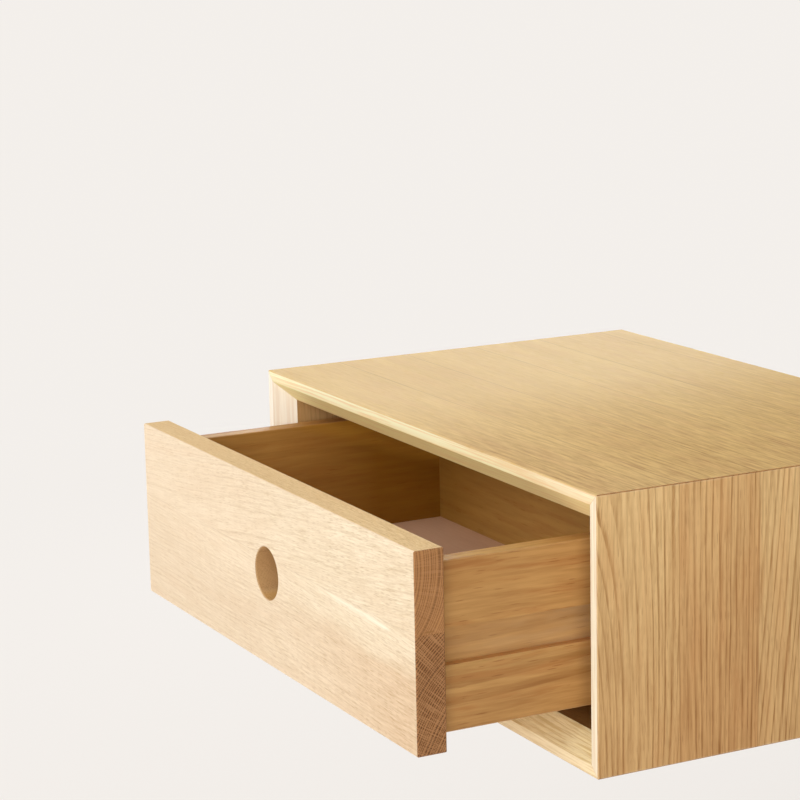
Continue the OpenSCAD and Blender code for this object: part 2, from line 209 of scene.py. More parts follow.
# %% [markdown]
# ## Growth rings
#
# A tree adds one sleeve of wood each year. In a sawn board the sleeves are cut at a slant: they
# show as arches and stripes on a face and as arcs on an end. Both patterns come out right by
# themselves if every point of the board is measured from the heart of the tree. The group below
# takes a point with X along the grain, works out its distance from the heart, and counts rings.
# The heart leans a little, which makes the arches, and slow noise bends the rings.

# %% The ring group
RING_DRIFT, DRIFT_PACE = 3.0, 0.31
RAY_ALONG, RAY_ROUND, RAY_OUTWARDS = 60.0, 3.2, 45.0


def make_ring_group():
    """Ring count = distance from the leaning heart / ring width, and noise lets it drift, as
    good and bad years do. Its fraction, the phase, runs from 0 at the porous early wood to 1 at
    the dense late wood of the same year. Rays are thin sheets that run out from the heart, so
    their noise is fine round the heart and slow outwards."""
    net, given, result = new_group(
        "growth_rings",
        {"Vector": "Vector", "Heart": "Vector", "Lean": "Vector", "Ring Width": "Float", "Seed": "Float"},
        {"Phase": "Float", "Tone": "Float", "Ray": "Float"},
    )
    along = net.split(given["Vector"])[X]
    centre = net.vector("ADD", given["Heart"], net.sized(given["Lean"], along))
    out_y, out_z = net.split(net.vector("SUBTRACT", given["Vector"], centre))[Y:]
    radius = net.math("SQRT", net.plus(net.times(out_y, out_y), net.times(out_z, out_z)))
    count = net.math("DIVIDE", radius, given["Ring Width"])
    uneven = net.noise(net.join(net.times(count, DRIFT_PACE), given["Seed"], 0.0), detail=1.0)
    count = net.plus(count, net.times(uneven, RING_DRIFT))
    year = net.join(net.math("FLOOR", count), given["Seed"], 0.0)
    tone = net.put("ShaderNodeTexWhiteNoise", {"Vector": year}).outputs[0]
    reach = net.vector("LENGTH", given["Heart"]).node.outputs["Value"]
    round_heart = net.times(net.math("ARCTAN2", out_z, out_y), reach)
    ray_point = net.join(
        net.times(along, RAY_ALONG),
        net.math("DIVIDE", net.times(round_heart, RAY_ROUND), given["Ring Width"]),
        net.times(radius, RAY_OUTWARDS),
    )
    ray = net.noise(ray_point, detail=1.0)
    net.feed(result, {"Phase": net.math("FRACT", count), "Tone": tone, "Ray": ray})
    return net.tree


ring_group = make_ring_group()
print("ring group nodes:", len(ring_group.nodes))

# %% [markdown]
# ## Grain that wanders
#
# No tree grows dead straight. Before anything else is drawn, each point is pushed sideways by slow
# noise, so that rings, pores and fibres all swing together, as they do round an old branch.

# %% The wander group
WANDER_SCALE = (5.0, 16.0, 16.0)


def make_wander_group():
    """Y and Z are moved by two slow noises, stretched along the grain and centred on zero."""
    net, given, result = new_group(
        "wandering_grain", {"Vector": "Vector", "Amount": "Float", "Seed": "Float"}, {"Vector": "Vector"}
    )
    slow = net.scaled(given["Vector"], WANDER_SCALE)
    point = net.vector("ADD", slow, net.join(given["Seed"], 0.0, 0.0))
    noise = net.noise(point, detail=1.5).node.outputs["Color"]
    push = net.vector("SUBTRACT", noise, (0.5, 0.5, 0.5))
    push = net.sized(net.scaled(push, (0.0, 2.0, 2.0)), given["Amount"])
    net.feed(result, {"Vector": net.vector("ADD", given["Vector"], push)})
    return net.tree


wander_group = make_wander_group()
print("wander group nodes:", len(wander_group.nodes))

# %% [markdown]
# ## Pores
#
# Oak carries its water in pipes that run along the grain. A saw opens them, and they show on a
# face as short dark dashes and on an end as dots. Points scattered in a space that is stretched
# along the grain give exactly that: long thin grains, cut at any angle. Each one gets its own
# length and darkness from the colour of its cell.

# %% The pore group
PORE_REACH = (0.26, 0.55)
PORE_DARKNESS = (0.5, 1.0)


def make_pore_group():
    """Space is divided by the dash's length along the grain and by its width across, so that a
    round spot in the divided space is a long thin dash in the board."""
    net, given, result = new_group(
        "pores",
        {"Vector": "Vector", "Length": "Float", "Width": "Float", "Share": "Float", "Seed": "Float"},
        {"Pore": "Float"},
    )
    along, across, deep = net.split(given["Vector"])
    distance, colour = net.cells(net.join(
        net.plus(net.math("DIVIDE", along, given["Length"]), given["Seed"]),
        net.math("DIVIDE", across, given["Width"]), net.math("DIVIDE", deep, given["Width"]),
    ))
    luck, size, depth = net.split(colour)
    spot = net.smooth(net.math("DIVIDE", distance, net.between(size, *PORE_REACH)), 1.0, 0.4)
    kept = net.math("LESS_THAN", luck, given["Share"])
    net.feed(result, {"Pore": net.times(spot, kept, net.between(depth, *PORE_DARKNESS))})
    return net.tree


pore_group = make_pore_group()
print("pore group nodes:", len(pore_group.nodes))

# %% [markdown]
# ## Boards glued edge to edge
#
# Wide panels are glued up from narrower staves, and each stave comes from another part of the
# log. The group below finds which stave a point lies in and gives it a heart of its own, so that
# the rings break off at the glue line as they do in the real panel. The stave at the front edge is
# the one that everybody sees, so its heart is not left to chance but is given to the group.

# %% The stave group
STAVE_WIDTH = 0.056
GLUE_LINE = (0.0004, 0.0001)
HEART_DISTANCE = (0.05, 0.12)
SIDE_LEAN, RISE_LEAN = 0.12, 0.05


def make_stave_group():
    """Stave number = whole part of (distance behind the front edge / stave width). Number 0 takes
    the given heart and lean. Each other one takes a random heart near its own middle."""
    net, given, result = new_group(
        "staves",
        {"Vector": "Vector", "Front Edge": "Float", "Heart": "Vector", "Lean": "Vector", "Seed": "Float"},
        {"Heart": "Vector", "Lean": "Vector", "Tone": "Float", "Glue": "Float"},
    )
    behind = net.minus(net.split(given["Vector"])[Y], given["Front Edge"])
    count = net.math("DIVIDE", behind, STAVE_WIDTH)
    number = net.math("MAXIMUM", net.math("FLOOR", count), 0.0)
    part = net.minus(count, number)
    luck = net.put("ShaderNodeTexWhiteNoise", {"Vector": net.join(number, given["Seed"], 0.0)})
    first, second, third = net.split(luck.outputs[1])
    is_front = net.math("LESS_THAN", number, 0.5)
    middle = net.plus(given["Front Edge"], net.times(net.plus(number, 0.5), STAVE_WIDTH))
    side = net.math("SIGN", net.minus(second, 0.5))
    heart_y = net.plus(middle, net.times(side, net.between(third, *HEART_DISTANCE)))
    heart = net.join(0.0, heart_y, net.split(given["Heart"])[Z])
    lean = net.join(0.0, net.between(third, -SIDE_LEAN, SIDE_LEAN), net.between(first, RISE_LEAN, -RISE_LEAN))
    tone = net.plus(net.times(number, 0.43), net.times(given["Seed"], 0.3))
    near_edge = net.math("MINIMUM", part, net.minus(1.0, part))
    glue = net.smooth(net.times(near_edge, STAVE_WIDTH), *GLUE_LINE)
    net.feed(result, {
        "Heart": net.choose(is_front, heart, given["Heart"]), "Lean": net.choose(is_front, lean, given["Lean"]),
        "Tone": net.math("FRACT", tone), "Glue": net.times(glue, net.math("GREATER_THAN", count, 0.5)),
    })
    return net.tree


stave_group = make_stave_group()
print("stave group nodes:", len(stave_group.nodes))

# %% [markdown]
# ## Worn edges with a painted highlight
#
# The edges of a drawer unit are touched every day and get a little smoother. They are paler than
# the faces beside them, partly as wear and partly as a painted highlight, the light a rounded edge
# would catch. An edge is where a point is close to two faces of its board at once, so the
# board's own box is enough to find it: of the three distances to the nearest faces, the second
# smallest is the distance to the nearest edge.

# %% The edge group
WEAR_AND_HIGHLIGHT_REACH = 0.0015


def make_edge_group():
    """Edge mask = soft step of the second smallest of the distances to the box's nearest faces,
    broken up by noise."""
    net, given, result = new_group(
        "worn_and_highlighted_edges", {"Vector": "Vector", "Low": "Vector", "High": "Vector"}, {"Edge": "Float"}
    )
    from_low = net.vector("SUBTRACT", given["Vector"], given["Low"])
    from_high = net.vector("SUBTRACT", given["High"], given["Vector"])
    near = net.vector("ABSOLUTE", net.vector("MINIMUM", from_low, from_high))
    a, b, c = net.split(near)
    least = net.math("MINIMUM", a, b)
    second = net.math("MAXIMUM", least, net.math("MINIMUM", net.math("MAXIMUM", a, b), c))
    ragged = net.noise(given["Vector"], (90.0, 90.0, 90.0), detail=3.0)
    reach = net.times(WEAR_AND_HIGHLIGHT_REACH, net.stretch(ragged, 0.3, 1.3))
    net.feed(result, {"Edge": net.smooth(net.math("DIVIDE", second, reach), 1.0, 0.2)})
    return net.tree


edge_group = make_edge_group()

# %% [markdown]
# ## From rings and pores to a wood material
#
# Each board has its grain along one axis, so a Mapping node first turns the object's coordinates
# until X runs along the grain. Then the groups give rings, rays and pores, and these darken or
# lighten the base colour, roughen the surface and press the pores in. The ends of a board drink
# more oil and are darker: the surface's own normal says where they are.

# %% Turning the grain and finishing a material
GRAIN_TURNS = {
    "X": (0.0, 0.0, 0.0),
    "Y": (0.0, 0.0, -math.pi / 2),
    "Z": (0.0, math.pi / 2, 0.0),
    "X_on_front": (-math.pi / 2, 0.0, 0.0),
}
# Pale colour of worn edges, which also paints the highlight that a rounded edge would catch.
WEAR_AND_HIGHLIGHT_COLOUR = (0.90, 0.76, 0.55)
PORE_ROUGHNESS = 0.25
EDGE_POLISH = 0.10


def start_material(name):
    material = bpy.data.materials.new(name)
    material.use_nodes = True
    material.node_tree.nodes.clear()
    net = Wiring(material.node_tree)
    shader = net.put("ShaderNodeBsdfPrincipled", {})
    net.put("ShaderNodeOutputMaterial", {"Surface": shader.outputs[0]})
    return material, net, shader


def coordinates(net, kind):
    """Object gives a point's own coordinates, Normal the way its surface looks."""
    return net.put("ShaderNodeTexCoord", {}).outputs[kind]


def place(net, group, inputs):
    return net.put("ShaderNodeGroup", inputs, node_tree=group).outputs


def pores(net, point, length, width, share, seed):
    inputs = {"Vector": point, "Length": length, "Width": width, "Share": share, "Seed": seed}
    return place(net, pore_group, inputs)["Pore"]


def grain_point(net, turn, seed, wander=0.003):
    """The object's coordinates, the same turned so that X runs along the grain and wandering a
    little, and the normal turned likewise."""
    place_at = coordinates(net, "Object")
    turned, facing = (
        net.put("ShaderNodeMapping", {"Vector": vector, "Rotation": GRAIN_TURNS[turn]}).outputs[0]
        for vector in (place_at, coordinates(net, "Normal"))
    )
    point = place(net, wander_group, {"Vector": turned, "Amount": wander, "Seed": seed})["Vector"]
    return place_at, point, facing


def end_mask(net, facing, low=0.5, high=0.68, most=1.0):
    """The ends of a board are the faces that look along its grain."""
    return net.smooth(net.math("ABSOLUTE", net.split(facing)[X]), low, high, 0.0, most)


def finish_wood(net, shader, node_name, place_at, colour, height, pore, end, roughness, edge_wear_and_highlight=0.25):
    """Worn edges with their painted highlight, roughness and bump are the same work for every wood."""
    low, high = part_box(node_name)
    edge = place(net, edge_group, {"Vector": place_at, "Low": tuple(low), "High": tuple(high)})["Edge"]
    wear_and_highlight = net.times(edge, net.between(end, edge_wear_and_highlight, 0.0))
    rough = net.plus(net.times(pore, PORE_ROUGHNESS), roughness)
    bump = net.put("ShaderNodeBump", {"Height": height, "Strength": 0.35, "Distance": 0.0002})
    net.feed(shader, {
        "Base Color": net.blend(wear_and_highlight, colour, WEAR_AND_HIGHLIGHT_COLOUR), "IOR": 1.45, "Specular IOR Level": 0.3,
        "Roughness": net.minus(rough, net.times(edge, EDGE_POLISH)), "Normal": bump.outputs[0],
    })


# %% [markdown]
# ## Oak
#
# Oak is drawn by its pores. The big ones crowd into a thin band at the start of each ring, so the
# ring shows as a row of dark dashes, and small ones lie between the bands. Under them come the
# band's own darker tone, fine fibres, slow clouds of colour, and pale rays. On a cut end the early
# wood of each ring is dark, and the rays cross it as pale lines. The same recipe makes the case
# and the paler drawer front with other values.

# %% The oak recipe
SMALL_PORE = 0.6
END_MARKS = 0.7


def oak_end_colour(net, rings, cloud, pore, look):
    phase = rings["Phase"]
    early = net.times(net.smooth(phase, 0.75, 0.35), net.smooth(phase, 0.0, 0.25))
    amount = net.plus(net.times(early, look["end_contrast"]), net.stretch(cloud, 0.0, 0.25))
    colour = net.blend(amount, look["end_light"], look["end_dark"])
    ray = net.times(net.smooth(rings["Ray"], 0.46, 0.60), look["end_contrast"])
    colour = net.blend(net.times(ray, END_MARKS), colour, look["end_ray"])
    return net.blend(net.times(pore, look["end_contrast"], END_MARKS), colour, look["end_dark"])


def oak_look(net, point, facing, heart, lean, look):
    """Colour, height, pore mask and end mask of oak. Every strength is a share from 0 to 1, and
    amount says how far a point has gone from the light to the dark colour."""
    seed, length, width = look["seed"], look["pore_length"], look["pore_width"]
    rings = place(net, ring_group, {
        "Vector": point, "Heart": heart, "Lean": lean, "Ring Width": look["ring"], "Seed": seed,
    })
    ragged = net.noise(point, (20.0, 420.0, 420.0))
    band = net.times(
        net.smooth(rings["Phase"], look["band"], 0.10), net.smooth(rings["Phase"], 0.0, 0.10),
        net.between(rings["Tone"], 0.4, 1.0), net.stretch(ragged, 0.4, 1.2),
    )
    fibre = net.noise(point, look["fibre_scale"], detail=3.0, roughness=0.6)
    cloud = net.noise(point, (5.0, 34.0, 34.0))
    crowd = net.linear(band, 0.0, 0.8, look["late_pores"], look["early_pores"])
    big = pores(net, point, length, width, crowd, seed)
    small = pores(net, point, SMALL_PORE * length, SMALL_PORE * width, look["small_pores"], seed + 7.0)
    pore = net.math("MAXIMUM", big, net.times(small, SMALL_PORE))
    amount = net.plus(
        net.times(band, look["contrast"]), 0.25, net.times(net.stretch(fibre, -1.0, 1.0), look["fibre"]),
        net.stretch(cloud, -look["cloud"], look["cloud"]),
    )
    colour = net.blend(amount, look["light"], look["dark"])
    blush = net.smooth(net.noise(point, (14.0, 90.0, 90.0)), 0.45, 0.7, 0.0, look["blush_depth"])
    colour = net.blend(blush, colour, look["blush"])
    ray = net.smooth(rings["Ray"], 0.56, 0.66)
    colour = net.blend(net.times(ray, look["ray_depth"]), colour, look["ray"])
    colour = net.blend(net.times(pore, look["pore_depth"]), colour, look["pore"])
    end = end_mask(net, facing)
    colour = net.blend(end, colour, oak_end_colour(net, rings, cloud, pore, look))
    return colour, net.minus(net.times(fibre, 0.4), pore), pore, end


# %% [markdown]
# ## Values for each board
#
# No two boards come from the same part of a log, so each has values of its own and takes the rest
# from common oak. Those of the case also hold fades: an axis, where the fade starts and ends, and
# a tone for either end. The face fades paint light and shade on the top and the right side, the
# inner fade paints shade on the bottom panel inside the case, and the edge fade changes the tone
# of the pale front edge from one end to the other. White leaves a colour as it is.

# %% Five oaks
WHITE = (1.0, 1.0, 1.0)
OAK = {
    "light": (0.73, 0.48, 0.218), "dark": (0.38, 0.190, 0.060), "pore": (0.27, 0.12, 0.035),
    "ray": (0.82, 0.58, 0.30), "blush": (0.66, 0.37, 0.15), "calm": (0.58, 0.36, 0.145),
    "end_light": (0.44, 0.210, 0.075), "end_dark": (0.115, 0.040, 0.011), "end_ray": (0.47, 0.24, 0.100),
    "end_contrast": 0.8, "stave_depth": 0.9, "ring": 0.0031, "band": 0.45, "contrast": 0.85,
    "early_pores": 0.9, "late_pores": 0.15, "small_pores": 0.35, "pore_length": 0.012,
    "pore_width": 0.0008, "pore_depth": 0.45, "ray_depth": 0.12, "fibre": 0.33,
    "fibre_scale": (30.0, 600.0, 600.0), "cloud": 0.12, "blush_depth": 0.35,
    "saw_line": (0.66, 0.40, 0.19), "saw_scale": (11.0, 460.0, 460.0), "lip_lines": 0.35,
    "bevel_lines": 0.40, "lip_painted_highlight": 0.0, "dull_right": False, "painted_light_fades": [], "inner_painted_shade": None,
    "edge_fade": None,
}
# The top's face fades paint shade towards the right and a warm reflection at the back; its lip carries a painted
# highlight.
TOP_OAK = {
    **OAK, "light": (0.80, 0.560, 0.206), "dark": (0.44, 0.237, 0.065), "fibre": 0.20,
    "fibre_scale": (42.0, 400.0, 400.0), "pore_depth": 0.14, "contrast": 0.14, "stave_depth": 0.15,
    "cloud": 0.08, "blush_depth": 0.20, "saw_line": (0.88, 0.57, 0.25), "lip_painted_highlight": 0.9,
    "lip_lines": 0.60, "bevel_lines": 0.45, "saw_scale": (8.0, 800.0, 800.0), "dull_right": True,
    "painted_light_fades": [(X, -0.05, 0.20, WHITE, (0.94, 0.91, 0.97)), (Y, -0.275, -0.215, WHITE, (0.97, 0.96, 0.86))],
    "edge_fade": (WHITE, (0.94, 0.87, 0.89)),
}
LEFT_OAK = {**OAK, "lip_lines": 0.20, "bevel_lines": 0.22}
# The right side's face fade paints light at its top and shade below.
RIGHT_OAK = {**OAK, "painted_light_fades": [(Z, 0.080, -0.040, (1.06, 1.12, 1.18), (0.87, 0.83, 0.80))]}
# The bottom's inner fade paints shade on its faces inside the case.
BOTTOM_OAK = {
    **OAK, "light": (0.80, 0.57, 0.235), "dark": (0.48, 0.27, 0.085), "ring": 0.0021, "fibre": 0.36,
    "blush_depth": 0.20, "saw_line": (0.62, 0.44, 0.17), "saw_scale": (24.0, 950.0, 950.0),
    "lip_lines": 0.45, "bevel_lines": 0.70, "edge_fade": ((0.88, 0.82, 0.72), (1.03, 1.00, 0.95)),
    "inner_painted_shade": (-0.285, -0.255, (0.42, 0.36, 0.26), (0.30, 0.24, 0.14)),
}
# The drawer front is a paler board of its own, and its pale, washed-out tone also paints the highlight of the light
# falling full on it.
PALE_OAK = {
    **OAK, "light": (0.86, 0.69, 0.505), "dark": (0.60, 0.415, 0.245),
    "pore": (0.44, 0.26, 0.13), "blush": (0.76, 0.56, 0.38), "ring": 0.0016, "band": 0.5,
    "contrast": 0.30, "early_pores": 0.8, "late_pores": 0.6, "small_pores": 0.6, "pore_length": 0.008,
    "pore_width": 0.0007, "pore_depth": 0.40, "fibre": 0.28, "fibre_scale": (60.0, 900.0, 900.0),
    "cloud": 0.10, "seed": 5.0,
}
print("the lightest oak goes from", PALE_OAK["light"], "to", PALE_OAK["dark"])

# %% [markdown]
# ## The case panels
#
# The grain of the top and bottom runs from left to right and that of the sides up and down, so it
# flows round the mitred corners. The flat front edge and the bevel are much paler, a painted
# highlight where they face the light, and fine saw lines show on them. Each mitre shows as a
# hairline of glue: a point on it lies as far from the case's side as from its top.

# %% Mitres and painted edge highlights
MITRE_LINE = (0.0005, 0.000125)
MITRE_GLUE = (0.52, 0.27, 0.090)
CASE_INSIDE = (0.0185, 0.0198)
EDGE_FADE_SPAN = (0.10, 0.19)


def mitre_and_inset(net, place_at):
    """Two distances count: to the nearest side, and to the nearer of top and bottom. Where they
    are equal a mitre runs, and the smaller one says how far a point lies inside the case's edge."""
    from_middle = net.split(net.vector("ABSOLUTE", place_at))
    to_side = net.minus(cad_high[X], from_middle[X])
    to_top = net.minus(cad_high[Z], from_middle[Z])
    return net.smooth(net.apart(to_side, to_top), *MITRE_LINE), net.math("MINIMUM", to_side, to_top)


def painted_highlight_edge(net, colour, point, from_left, inset, lip, oak, paled, pale_lip, pale_bevel):
    """The flat edge is where lip is 1, the bevel where it is 0. pale_lip and pale_bevel are their
    tones, which paint the highlight of the light falling on them, and paled says how far the bevel
    has gone towards its own. Where lip_painted_highlight is set, the lip darkens further in from
    the case's outer edge. Saw lines cross both."""
    share = net.between(lip, paled, max(paled, 0.9))
    pale = net.blend(share, colour, net.blend(lip, pale_bevel, pale_lip))
    # Painted highlight: the lip is palest at the case's outer edge and darker further in.
    inward = net.times(net.linear(inset, 0.002, 0.007, 0.0, oak["lip_painted_highlight"]), lip)
    pale = net.blend(inward, pale, net.scaled(pale, (0.88, 0.82, 0.70)))
    sawn = net.smooth(net.noise(point, oak["saw_scale"], detail=3.0, roughness=0.7), 0.43, 0.62)
    strength = net.between(lip, oak["bevel_lines"], oak["lip_lines"])
    pale = net.blend(net.times(sawn, strength), pale, oak["saw_line"])
    if oak["edge_fade"]:
        pale = net.fade(pale, from_left, *EDGE_FADE_SPAN, *oak["edge_fade"])
    return pale


# %% [markdown]
# ## Gloss, painted light and painted shade
#
# The top is glossier at its left and duller at its right, and the grain stands out where it is
# dull. Its colour is painted a little darker towards the right, as shade, and yellower at the back,
# as a warm reflection. The right side is painted lighter at its top and darker below, as light and
# shade. Inside the case the oak is calmer, and on the bottom panel it is much deeper, which paints
# the shade under the drawer.

# %% Oak for the case panels
def panel_material(node_name, turn, seed, heart, lean, oak, sanding, roughness=0.55):
    """sanding holds the last three values of painted_highlight_edge. A dull right end is rougher, up to 0.8."""
    material, net, shader = start_material("oak_" + node_name)
    place_at, point, facing = grain_point(net, turn, seed)
    parts = net.split(place_at)
    look = {**oak, "seed": seed}
    if oak["dull_right"]:
        for strength in ("contrast", "fibre", "pore_depth"):
            look[strength] = net.smooth(parts[X], -0.12, 0.22, 0.40 * oak[strength], 2.0 * oak[strength])
        roughness = net.smooth(parts[X], -0.10, 0.20, roughness, 0.8)
    stave = place(net, stave_group, {
        "Vector": point, "Front Edge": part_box(node_name)[0][Y], "Heart": heart, "Lean": lean, "Seed": seed,
    })
    colour, height, pore, end = oak_look(net, point, facing, stave["Heart"], stave["Lean"], look)
    deeper = net.scaled(colour, (0.90, 0.82, 0.76))
    colour = net.blend(net.smooth(stave["Tone"], 0.7, 0.3, 0.0, oak["stave_depth"]), colour, deeper)
    # Painted light and shade: the face fades.
    for axis, *tones in oak["painted_light_fades"]:
        colour = net.fade(colour, parts[axis], *tones)
    mitre, inset = mitre_and_inset(net, place_at)
    calmed = net.blend(net.smooth(inset, *CASE_INSIDE, 0.0, 0.6), colour, oak["calm"])
    # Painted shade on the inside faces, where the inner fade is given.
    if oak["inner_painted_shade"]:
        inner = net.fade(colour, parts[Y], *oak["inner_painted_shade"])
        calmed = net.blend(net.smooth(inset, *CASE_INSIDE), calmed, inner)
    facing_y = net.split(facing)[Y]
    # Faces towards the front take the pale tones, a painted highlight where they face the light.
    forward = net.times(net.smooth(facing_y, -0.45, -0.68), net.smooth(inset, 0.0004, 0.0009))
    lip = net.smooth(facing_y, -0.75, -0.95)
    pale = painted_highlight_edge(net, calmed, point, parts[X], inset, lip, oak, *sanding)
    colour = net.blend(forward, calmed, pale)
    colour = net.blend(net.times(stave["Glue"], 0.5), colour, OAK["pore"])
    colour = net.blend(net.times(mitre, net.between(forward, 0.5, 0.25)), colour, MITRE_GLUE)
    finish_wood(net, shader, node_name, place_at, colour, height, pore, end, roughness, edge_wear_and_highlight=0.15)
    return material


def dress(node_name, material):
    mesh = nodes[node_name].data
    mesh.materials.clear()
    mesh.materials.append(material)


# Pale tones of the front edges and bevels, which paint the highlight where they face the light.
CREAM = (0.95, 0.88, 0.70)
IVORY = (1.00, 0.95, 0.83)
HONEY = (1.00, 0.95, 0.65)
STRAW = (0.94, 0.81, 0.57)
GOLD = (1.00, 0.92, 0.62)
AMBER = (1.00, 0.88, 0.43)
panel_looks = {
    "top_panel": {
        "turn": "X", "seed": 2.0, "heart": (0.0, -0.36, 0.0), "lean": (0.0, 0.01, 0.03), "oak": TOP_OAK,
        "sanding": (0.98, HONEY, AMBER), "roughness": 0.60,
    },
    "bottom_panel": {
        "turn": "X", "seed": 7.0, "heart": (0.0, -0.215, -0.040), "lean": (0.0, 0.24, 0.24),
        "oak": BOTTOM_OAK, "sanding": (0.72, STRAW, GOLD),
    },
    "right_panel": {
        "turn": "Z", "seed": 3.0, "heart": (0.0, -0.34, -0.138), "lean": (0.0, 0.184, 0.163),
        "oak": RIGHT_OAK, "sanding": (0.84, CREAM, CREAM),
    },
    "left_panel": {
        "turn": "Z", "seed": 9.0, "heart": (0.0, -0.35, 0.140), "lean": (0.0, 0.05, -0.12),
        "oak": LEFT_OAK, "sanding": (0.92, IVORY, IVORY),
    },
}
for node_name, look in panel_looks.items():
    dress(node_name, panel_material(node_name, **look))
print("case panels dressed:", len(panel_looks))

# %% [markdown]
# ## Marks on the drawer front
#
# Three small things make it this front and no other: a pale ragged streak just under the joint, a
# short dark gap in the glue on the right end, and a figure that grows stronger to the right. The
# wall of the finger hole was sanded after boring, so it is paler than the ends.

# %% Streak, glue and finger hole
FINGER_HOLE_RADIUS = 0.017
PALE_STREAK = {"x": (0.080, 0.174), "z": (0.0104, 0.0085), "half_width": 0.0026, "colour": (0.94, 0.88, 0.72)}
GLUE_GAP = {"y": -0.3975, "half_y": 0.0045, "z": 0.0140, "half_z": 0.0009}
HOLE_WALL = (0.51, 0.315, 0.140)


def face_tones(net, colour, point, from_left, up):
    """The lower board is deeper than the upper, most of all at the right. Noise bends the border."""
    drift = net.stretch(net.noise(point, (9.0, 70.0, 70.0)), -0.008, 0.008)
    lower = net.fade(colour, from_left, 0.03, 0.18, (0.95, 0.97, 0.965), (0.87, 0.82, 0.75))
    upper = net.fade(colour, from_left, -0.05, 0.08, (0.985, 1.015, 1.02), (0.985, 1.045, 1.06))
    return net.blend(net.smooth(net.plus(up, drift), 0.001, -0.018), upper, lower)


def finger_hole(net, colour, pore, from_middle):
    radius = net.vector("LENGTH", net.scaled(from_middle, (1.0, 0.0, 1.0))).node.outputs["Value"]
    in_hole = net.smooth(radius, FINGER_HOLE_RADIUS + 0.0008, FINGER_HOLE_RADIUS + 0.0002)
    paled = net.blend(net.times(pore, 0.5), HOLE_WALL, PALE_OAK["end_dark"])
    return net.blend(net.times(in_hole, 0.85), colour, paled)


def glue_marks(net, colour, place_at, joint_z, end):
    """The joint is a hairline all round. The gap in it shows at the right end only."""
    from_left, behind, up = net.split(place_at)
    joint = net.times(net.smooth(net.apart(up, joint_z), *GLUE_LINE), net.between(end, 0.1, 0.3))
    gap = net.times(
        net.smooth(net.apart(up, GLUE_GAP["z"]), GLUE_GAP["half_z"], 0.0),
        net.smooth(net.apart(behind, GLUE_GAP["y"]), GLUE_GAP["half_y"], 0.001),
        net.times(end, net.math("GREATER_THAN", from_left, 0.0)), 0.9,
    )
    for mark in (joint, gap):
        colour = net.blend(mark, colour, OAK["pore"])
    return colour


def pale_streak(net, place_at, from_left, up):
    """A thin line that sinks a little to the right, tapers at both ends and is torn by noise."""
    share = net.linear(from_left, *PALE_STREAK["x"])
    line = net.smooth(net.apart(up, net.between(share, *PALE_STREAK["z"])), PALE_STREAK["half_width"], 0.0)
    tapered = net.times(net.smooth(share, 0.0, 0.25), net.smooth(share, 1.0, 0.9))
    ragged = net.noise(place_at, (45.0, 90.0, 420.0))
    return net.times(line, tapered, net.linear(ragged, 0.35, 0.65, 0.35, 0.8))


# %% [markdown]
# ## The drawer front
#
# The front is glued from two boards, and its end shows how each was sawn. In the upper board the
# heart lay just in front of the face, so the rings stand upright at the end and bend forwards, and
# the face shows a wide faint figure. In the lower board the rings slant, with rays across them, and
# its face is deeper.

# %% Oak for the drawer front
FRONT_JOINT = 0.59
UPPER_BOARD = {"slope": 6.0, "heart": (0.0, 0.050, 0.0545), "lean": (0.0, 0.0, 0.0)}
LOWER_BOARD = {"slope": -3.0, "heart": (0.0, -0.119, -0.115), "lean": (0.0, 0.02, 0.03)}


def front_material():
    """Each board is turned in the plane of the face about the front's right end, where its rings
    are seen end on. Upper and lower have a slope of grain, a heart and a lean of their own."""
    material, net, shader = start_material("oak_drawer_front")
    low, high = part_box("drawer_front")
    middle = (low + high) / 2
    joint_z = low[Z] + FRONT_JOINT * (high[Z] - low[Z])
    place_at, point, facing = grain_point(net, "X_on_front", PALE_OAK["seed"], wander=0.0035)
    parts = net.split(place_at)
    from_left, up = parts[X], parts[Z]
    upper = net.math("GREATER_THAN", up, joint_z)
    from_end = net.vector("SUBTRACT", point, (high[X], middle[Z], -middle[Y]))
    turned = [
        net.put("ShaderNodeMapping", {"Vector": from_end, "Rotation": (0.0, 0.0, math.radians(-board["slope"]))})
        for board in (LOWER_BOARD, UPPER_BOARD)
    ]
    board = net.choose(upper, turned[0].outputs[0], turned[1].outputs[0])
    heart = net.choose(upper, LOWER_BOARD["heart"], UPPER_BOARD["heart"])
    lean = net.choose(upper, LOWER_BOARD["lean"], UPPER_BOARD["lean"])
    figure = net.linear(from_left, -0.20, 0.20, 0.55, 1.35)
    look = {**PALE_OAK, "end_contrast": net.between(upper, 1.15, 0.50)}
    for strength in ("fibre", "pore_depth"):
        look[strength] = net.times(figure, PALE_OAK[strength])
    colour, height, pore, end = oak_look(net, board, facing, heart, lean, look)
    colour = net.blend(net.times(end, net.between(upper, 0.20, 0.0)), colour, PALE_OAK["end_dark"])
    on_face = net.smooth(net.split(coordinates(net, "Normal"))[Y], -0.8, -0.95)
    colour = net.blend(on_face, colour, face_tones(net, colour, point, from_left, up))
    colour = finger_hole(net, colour, pore, net.vector("SUBTRACT", place_at, middle))
    colour = glue_marks(net, colour, place_at, joint_z, end)
    streak = net.times(pale_streak(net, place_at, from_left, up), on_face)
    colour = net.blend(streak, colour, PALE_STREAK["colour"])
    long_edge = net.smooth(net.math("ABSOLUTE", net.split(facing)[Y]), 0.75, 0.95)
    colour = net.blend(long_edge, colour, net.scaled(colour, (1.03, 0.94, 0.68)))
    roughness = net.between(long_edge, 0.48, 0.78)
    finish_wood(net, shader, "drawer_front", place_at, colour, height, pore, end, roughness)
    return material


dress("drawer_front", front_material())
print("drawer front dressed")

# %% [markdown]
# ## Pine
#
# The drawer's sides and back are pine. Pine has no pores to see. Its rings fade from pale spring
# wood to an orange summer line, and resin canals show as thin dashes, most of them where the wood
# blushes.

